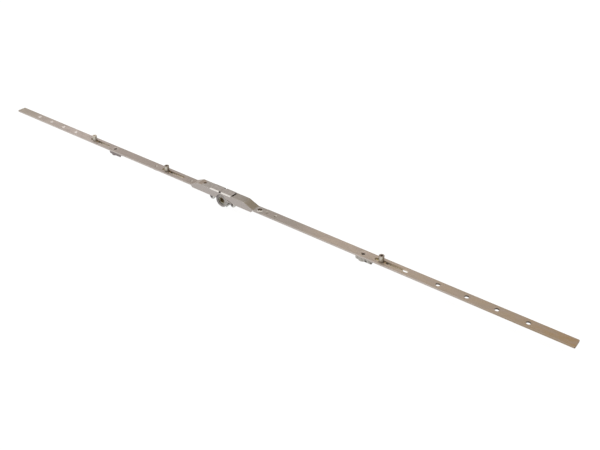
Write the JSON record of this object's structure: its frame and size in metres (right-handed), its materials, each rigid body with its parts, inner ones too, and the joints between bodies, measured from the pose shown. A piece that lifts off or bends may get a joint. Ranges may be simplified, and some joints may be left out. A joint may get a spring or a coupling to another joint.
{
  "type": "window espagnolette",
  "caption": "In-line window espagnolette with a slim faceplate, raised gearbox, square spindle hole in a toothed pinion, sliding drive rod and roller cams.",
  "frame": {"origin": "centre of the square spindle hole, at the middle of the width", "axes": "+X along the faceplate towards the longer arm, +Y across the faceplate, +Z out of the faceplate, the way the cams stand"},
  "size_m": [1.09, 0.016, 0.0294],
  "materials": {
    "faceplate": "satin silver zinc plating",
    "housing": "satin silver, die-cast zinc",
    "casting": "bright die-cast zinc",
    "rivet": "plated steel",
    "rod": "zinc plated, lightly greased",
    "gear": "bright zinc plating",
    "cam": "turned, yellowish zinc plating"
  },
  "bodies": {
    "case": {"faceplate_left": "faceplate", "faceplate_right": "faceplate", "gear_housing": "housing", "gear_cover": "housing", "cheek_near": "casting", "cheek_far": "casting", "lap_rivets": "rivet", "guide_rivet": "rivet", "screw_support_left": "casting", "screw_support_right": "casting"},
    "drive": {"rack": "rod", "drive_rod_left": "rod", "drive_rod_right": "rod"},
    "pinion": {"pinion": "gear"},
    "cam_pin_left": {"cam_pin_left": "cam"},
    "cam_roller_left": {"cam_roller_left": "cam"},
    "cam_pin_middle": {"cam_pin_middle": "cam"},
    "cam_roller_middle": {"cam_roller_middle": "cam"},
    "cam_pin_right": {"cam_pin_right": "cam"},
    "cam_roller_right": {"cam_roller_right": "cam"}
  },
  "joints": [
    {"name": "rod_slide", "type": "slide", "parent": "case", "child": "drive", "axis": [1, 0, 0], "range_m": [0, 0.036]},
    {"name": "pinion_turn", "type": "hinge", "parent": "case", "child": "pinion", "pos_m": [0, 0, 0], "axis": [0, 1, 0], "range_deg": [0, 180]},
    {"name": "cam_pin_left_turn", "type": "hinge", "parent": "drive", "child": "cam_pin_left", "pos_m": [-0.3095, 0, 0.0088], "axis": [0, 0, 1], "continuous": true},
    {"name": "cam_roller_left_spin", "type": "hinge", "parent": "cam_pin_left", "child": "cam_roller_left", "pos_m": [-0.30875, 0, 0.01215], "axis": [0, 0, 1], "continuous": true},
    {"name": "cam_pin_middle_turn", "type": "hinge", "parent": "drive", "child": "cam_pin_middle", "pos_m": [-0.1285, 0, 0.0088], "axis": [0, 0, 1], "continuous": true},
    {"name": "cam_roller_middle_spin", "type": "hinge", "parent": "cam_pin_middle", "child": "cam_roller_middle", "pos_m": [-0.12775, 0, 0.01215], "axis": [0, 0, 1], "continuous": true},
    {"name": "cam_pin_right_turn", "type": "hinge", "parent": "drive", "child": "cam_pin_right", "pos_m": [0.2894, 0, 0.0088], "axis": [0, 0, 1], "continuous": true},
    {"name": "cam_roller_right_spin", "type": "hinge", "parent": "cam_pin_right", "child": "cam_roller_right", "pos_m": [0.29015, 0, 0.01215], "axis": [0, 0, 1], "continuous": true}
  ],
  "couplings": [
    {"joint": "pinion_turn", "follows": "rod_slide", "rad_per_m": 87.266}
  ]
}
